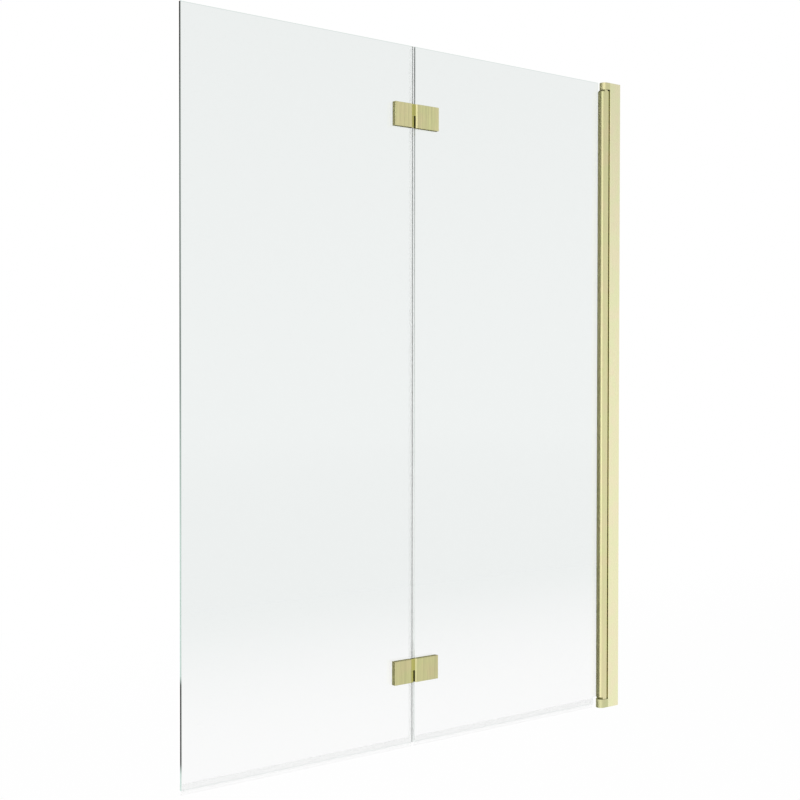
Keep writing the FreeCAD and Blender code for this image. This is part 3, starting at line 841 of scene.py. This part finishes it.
@dataclass
class FoldSeal:
    """Clear clip on the outer pane's edge at the fold, in three lengths between the hinges."""

    name: str = "fold_seal_strip"
    node: str = "fold_seal"
    section: ClipSection = ClipSection(
        web=1.0 * MM,
        leg=1.0 * MM,
        leg_tip_share=0.55,
        fin_steps=((0.0, 0.6, 0.75), (0.0, 0.4, 0.7)),
    )
    hinge_gap: float = 1.0 * MM
    edge_radius: float = 0.2 * MM

    def build(self, finishes: Finishes) -> None:
        """Models the three lengths in the place of their CAD solids.

        Args:
            finishes: The screen's finishes.
        """
        low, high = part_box(self.node)
        pane_low, pane_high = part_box("outer_glass")
        lower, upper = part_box("lower_outer_hinge_plate"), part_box("upper_outer_hinge_plate")
        spans = (
            (low.z, lower[0].z - self.hinge_gap),
            (lower[1].z + self.hinge_gap, upper[0].z - self.hinge_gap),
            (upper[1].z + self.hinge_gap, high.z),
        )
        lengths = []
        for start, end in spans:
            draft = self.section.draw(
                self.name, (pane_low.y, pane_high.y), -pane_high.x, -low.x, -high.x,
            )
            lengths.append(draft.draw_out(start, end - start, ALONG_Z))
        piece = join_pieces(lengths)
        finish_piece(piece, self.edge_radius, finishes.seal_upright)
        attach(piece, "outer_leaf")
        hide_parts(self.node)
        LOG.info("built %s", piece.name)


@dataclass
class ScrewCovers:
    """Domed push-on covers over the three adjusting screws.

    Each step of the dome has its share of the radius and its share of the dome's rise.
    """

    name: str = "adjusting_screw_covers"
    node: str = "adjusting_screw_caps"
    wall: float = 1.2 * MM
    dome_share: float = 0.28
    dome_steps: tuple[tuple[float, float], ...] = ((0.16, 0.5), (0.28, 0.32), (0.3, 0.18))
    edge_radius: float = 0.3 * MM
    sides: int = 56

    def build(self, finishes: Finishes) -> None:
        """Models one cover, copies it to each screw, and joins them.

        Args:
            finishes: The screen's finishes.
        """
        low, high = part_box(self.node)
        radius = (high.x - low.x) / 2
        depth = high.y - low.y
        centre_x = (low.x + high.x) / 2
        heights = (low.z + radius, (low.z + high.z) / 2, high.z - radius)
        cover = self.cover(radius, depth, Vector((centre_x, low.y, heights[0])))
        covers = [cover]
        for height in heights[1:]:
            copy = cover.copy()
            copy.data = cover.data.copy()
            copy.data.transform(Matrix.Translation((0.0, 0.0, height - heights[0])))
            bpy.context.collection.objects.link(copy)
            covers.append(copy)
        piece = join_pieces(covers)
        finish_piece(piece, self.edge_radius, finishes.trim)
        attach(piece, "wall_frame")
        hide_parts(self.node)
        LOG.info("built %s", piece.name)

    def cover(self, radius: float, depth: float, seat: Vector) -> bpy.types.Object:
        """Models one cover as a hollow cup with a domed face.

        Args:
            radius: Its outer radius.
            depth: How far it stands off its seat.
            seat: The centre of its open end.

        Returns:
            The piece, in object mode.
        """
        rim = depth * (1 - self.dome_share)
        rise = depth - rim
        bpy.ops.object.select_all(action="DESELECT")
        bpy.ops.mesh.primitive_cylinder_add(
            vertices=self.sides, radius=radius, depth=rim,
            location=seat + Vector((0.0, rim / 2, 0.0)), rotation=(math.radians(90), 0.0, 0.0),
        )
        piece = bpy.context.active_object
        piece.name = self.name
        bpy.ops.object.transform_apply(location=True, rotation=True, scale=True)
        bpy.ops.object.mode_set(mode="EDIT")
        pick_faces(piece, (0.0, -1.0, 0.0))
        bpy.ops.mesh.inset(thickness=self.wall)
        bpy.ops.transform.translate(value=(0.0, rim - self.wall, 0.0))
        pick_faces(piece, (0.0, 1.0, 0.0))
        for radius_share, rise_share in self.dome_steps:
            bpy.ops.mesh.inset(thickness=radius * radius_share)
            bpy.ops.transform.translate(value=(0.0, rise * rise_share, 0.0))
        bpy.ops.object.mode_set(mode="OBJECT")
        return piece


@dataclass
class WallFrame:
    """The channel on the wall with its cap, adjusting screws, nuts and covers."""

    covers: ScrewCovers

    def build(self, finishes: Finishes) -> None:
        """Models the covers and dresses the rest.

        Args:
            finishes: The screen's finishes.
        """
        self.covers.build(finishes)
        dress(finishes.channel, "wall_channel", "channel_top_cap")
        dress(finishes.steel, "adjusting_screws", "adjusting_nuts")


@dataclass
class PivotFrame:
    """The adjusting profile with its brackets, pivot pins and wiper."""

    ends: tuple[str, str] = ("top", "bottom")

    def build(self, finishes: Finishes) -> None:
        """Dresses the pieces.

        Args:
            finishes: The screen's finishes.
        """
        # The adjusting profile wears painted shade
        dress(finishes.painted_shade, "adjusting_profile")
        dress(finishes.profile, "top_bracket")
        # Darker copy of the profile brass: painted shade
        dress(finishes.foot, "bottom_bracket")
        for end in self.ends:
            dress(finishes.steel, f"{end}_bracket_screws", f"{end}_pivot_pin")
        dress(finishes.nylon, "pivot_washers")
        dress(finishes.gasket, "wiper_seal")


@dataclass
class InnerLeaf:
    """The pane carried by the pivot profile, with its half of the hinges."""

    seal: DripSeal

    def build(self, finishes: Finishes) -> None:
        """Models the seal and dresses the rest.

        Args:
            finishes: The screen's finishes.
        """
        self.seal.build(finishes)
        dress(finishes.inner_glass, "inner_glass")
        dress(finishes.profile, "pivot_profile")
        dress(finishes.upper_hinge, "upper_inner_hinge_plate")
        dress(finishes.lower_hinge, "lower_inner_hinge_plate")
        dress(finishes.trim, "inner_glass_discs")
        dress(finishes.steel, "upper_hinge_pin", "lower_hinge_pin")
        dress(finishes.gasket, "glazing_bond", "inner_hinge_gaskets")
        dress(finishes.nylon, "top_pivot_bush", "bottom_pivot_bush", "inner_disc_sleeves")


@dataclass
class OuterLeaf:
    """The free pane, with its seals and its half of the hinges."""

    seal: DripSeal
    fold: FoldSeal

    def build(self, finishes: Finishes) -> None:
        """Models the seals and dresses the rest.

        Args:
            finishes: The screen's finishes.
        """
        self.seal.build(finishes)
        self.fold.build(finishes)
        dress(finishes.outer_glass, "outer_glass")
        dress(finishes.upper_hinge, "upper_outer_hinge_plate")
        dress(finishes.lower_hinge, "lower_outer_hinge_plate")
        dress(finishes.trim, "outer_glass_discs")
        dress(finishes.gasket, "outer_hinge_gaskets")
        dress(finishes.nylon, "outer_disc_sleeves", "hinge_bushes", "hinge_washers")


@dataclass(frozen=True)
class Lamp:
    """One soft rectangular lamp that points at the screen."""

    name: str
    place: Point
    width: float
    height: float
    watts: float

    def build(self, target: Vector) -> None:
        """Adds the lamp.

        Args:
            target: What it points at.
        """
        data = bpy.data.lights.new(self.name, "AREA")
        data.shape = "RECTANGLE"
        data.size = self.width
        data.size_y = self.height
        data.energy = self.watts
        lamp = bpy.data.objects.new(self.name, data)
        lamp.location = self.place
        lamp.rotation_euler = (target - Vector(self.place)).to_track_quat("-Z", "Y").to_euler()
        bpy.context.collection.objects.link(lamp)


@dataclass
class Studio:
    """The pale floor, the soft light and the camera.

    A sector runs from where a card or panel begins to where it is full, as the cosine of the angle.
    """

    rim_height: float = 0.56
    floor_size: float = 60.0
    floor_colour: Colour = (0.95, 0.95, 0.95)
    floor_white: float = 0.96
    white_range: tuple[float, float] = (1.6, 4.6)
    eye: Point = (-2.2132, -2.0674, 0.7370)
    yaw: float = 37.672
    pitch: float = -0.893
    roll: float = 0.060
    focal_length: float = 59.393
    sensor_width: float = 36.0
    haze: Colour = (0.892, 0.916, 0.909)
    haze_dip: float = 0.978
    haze_range: tuple[float, float] = (5.0, 25.0)
    soft_level: float = 0.78
    sky_range: tuple[float, float] = (-0.05, 0.4)
    sky_level: float = 0.68
    card_share: float = 0.10
    card_hue: Colour = (0.91, 1.0, 0.58)
    card_ways: tuple[Point, Point] = ((-0.66, 0.75, 0.0), (0.62, 0.785, 0.0))
    card_sector: tuple[float, float] = (0.8, 0.975)
    panel_way: Point = (-0.77, -0.64, 0.0)
    panel_sector: tuple[float, float] = (0.8, 0.96)
    panel_low: float = 1.28
    panel_level: float = 1.4
    panel_rise: float = 0.15
    mirror_depth: float = 0.5
    middle: Point = (-0.55, 0.0, 0.7)
    lamps: tuple[Lamp, ...] = (
        Lamp("key_lamp", (-1.8, -2.2, 3.8), 2.4, 1.6, 34.0),
        Lamp("back_lamp", (-1.6, 2.0, 3.6), 2.0, 1.4, 14.0),
        Lamp("front_lamp", (-3.3, -3.2, 0.75), 1.0, 1.8, 4.0),
    )

    def build(self) -> None:
        """Builds the stage around the screen."""
        self.world()
        self.floor()
        for lamp in self.lamps:
            lamp.build(Vector(self.middle))
        self.camera()
        bpy.context.scene.view_settings.view_transform = "Standard"

    def mirrored(
        self, bench: NodeBench, way: Socket, panel_level: object,
    ) -> tuple[Socket, Socket, Socket]:
        """What metal and glass mirror: plain light, two dark cards behind and a brighter panel in front.

        Args:
            bench: The nodes of the world or the floor.
            way: The direction from the screen.
            panel_level: The panel's brightness, or the socket to link from.

        Returns:
            The sockets of whether a ray was mirrored, the light's level and its hue.
        """
        depth = bench.add("LightPath").outputs["Glossy Depth"]
        whether = bench.math("GREATER_THAN", depth, self.mirror_depth)
        cards = (
            bench.between(bench.facing(way, card), (*self.card_sector, 1.0, self.card_share))
            for card in self.card_ways
        )
        turn = bench.math("MULTIPLY", *cards)
        hue = bench.ramp(turn, [(self.card_share, self.card_hue), (1.0, WHITE)])
        panel = bench.between(bench.facing(way, self.panel_way), (*self.panel_sector, 1.0, panel_level))
        return whether, bench.math("MULTIPLY", turn, panel), hue

    def world(self) -> None:
        """Soft light from all round, what metal and glass mirror, and white behind the screen."""
        world = bpy.data.worlds.new("studio_light")
        bpy.context.scene.world = world
        world.use_nodes = True
        bench = NodeBench(world.node_tree)
        way = bench.add("TexCoord").outputs["Generated"]
        rise = bench.add("SeparateXYZ", {0: way}).outputs["Z"]
        panel_level = bench.between(rise, (0.0, self.panel_rise, self.panel_low, self.panel_level))
        mirrored, level, hue = self.mirrored(bench, way, panel_level)
        level = bench.math("MULTIPLY", level, bench.between(rise, (*self.sky_range, 1.0, self.sky_level)))
        soft = bench.add("Background", {"Color": WHITE, "Strength": self.soft_level})
        mirror = bench.add("Background", {"Color": hue, "Strength": level})
        through = bench.add("Background", {"Color": self.haze, "Strength": 1.0})
        white = bench.add("Background", {"Color": WHITE, "Strength": 1.0})
        path = bench.add("LightPath").outputs
        light = bench.choose(path["Is Transmission Ray"], soft, through)
        light = bench.choose(mirrored, light, mirror)
        bench.show(bench.choose(path["Is Camera Ray"], light, white), "OutputWorld")

    def floor(self) -> None:
        """A pale floor below the bath's rim, white to the eye and with the screen's soft shadow."""
        bpy.ops.object.select_all(action="DESELECT")
        bpy.ops.mesh.primitive_plane_add(size=self.floor_size, location=(0.0, 0.0, -self.rim_height))
        floor = bpy.context.active_object
        floor.name = "studio_floor"
        material, bench = start_material("pale_floor")
        coords = bench.add("TexCoord").outputs["Object"]
        away = bench.math("ABSOLUTE", bench.add("SeparateXYZ", {0: coords}).outputs["Y"])
        far = bench.between(away, (*self.white_range, 0.0, 1.0))
        deep = bench.between(away, (*self.haze_range, 0.0, 1.0))
        haze = bench.ramp(deep, [(0.0, shaded(self.haze, self.haze_dip)), (1.0, self.haze)])
        haze = bench.blend(far, WHITE, haze)
        way = bench.add("VectorMath", {0: coords}, operation="NORMALIZE").outputs[0]
        mirrored, level, hue = self.mirrored(bench, way, self.panel_low)
        strength = bench.math("MULTIPLY_ADD", mirrored, bench.math("SUBTRACT", level, 1.0), 1.0)
        matt = bench.add("BsdfDiffuse", {"Color": self.floor_colour})
        white = bench.add("Emission", {"Color": WHITE, "Strength": 1.0})
        pale = bench.add("Emission", {"Color": bench.blend(mirrored, haze, hue), "Strength": strength})
        path = bench.add("LightPath").outputs
        straight = bench.choose(path["Is Camera Ray"], pale, white)
        seen = bench.math("MAXIMUM", path["Is Camera Ray"], path["Is Transmission Ray"])
        seen = bench.math("MAXIMUM", seen, path["Is Glossy Ray"])
        share = bench.math("MULTIPLY", seen, bench.between(far, (0.0, 1.0, self.floor_white, 1.0)))
        bench.show(bench.choose(share, matt, straight))
        floor.data.materials.append(material)

    def camera(self) -> None:
        """The camera at the photograph's viewing angle."""
        data = bpy.data.cameras.new("photo_camera")
        data.sensor_fit = "HORIZONTAL"
        data.sensor_width = self.sensor_width
        data.lens = self.focal_length
        camera = bpy.data.objects.new("photo_camera", data)
        camera.location = self.eye
        turns = (90 + self.pitch, -self.roll, -self.yaw)
        camera.rotation_euler = tuple(math.radians(turn) for turn in turns)
        bpy.context.collection.objects.link(camera)
        bpy.context.scene.camera = camera


def main() -> None:
    """Builds the screen's sub-assemblies in order, then the stage."""
    logging.basicConfig(level=logging.INFO)
    finishes = Finishes()
    WallFrame(ScrewCovers()).build(finishes)
    PivotFrame().build(finishes)
    InnerLeaf(DripSeal("inner_drip_seal", "inner_bottom_seal", "inner_glass", "inner_leaf")).build(finishes)
    OuterLeaf(
        DripSeal("outer_drip_seal", "outer_bottom_seal", "outer_glass", "outer_leaf"), FoldSeal(),
    ).build(finishes)
    Studio().build()


if __name__ == "__main__":
    main()
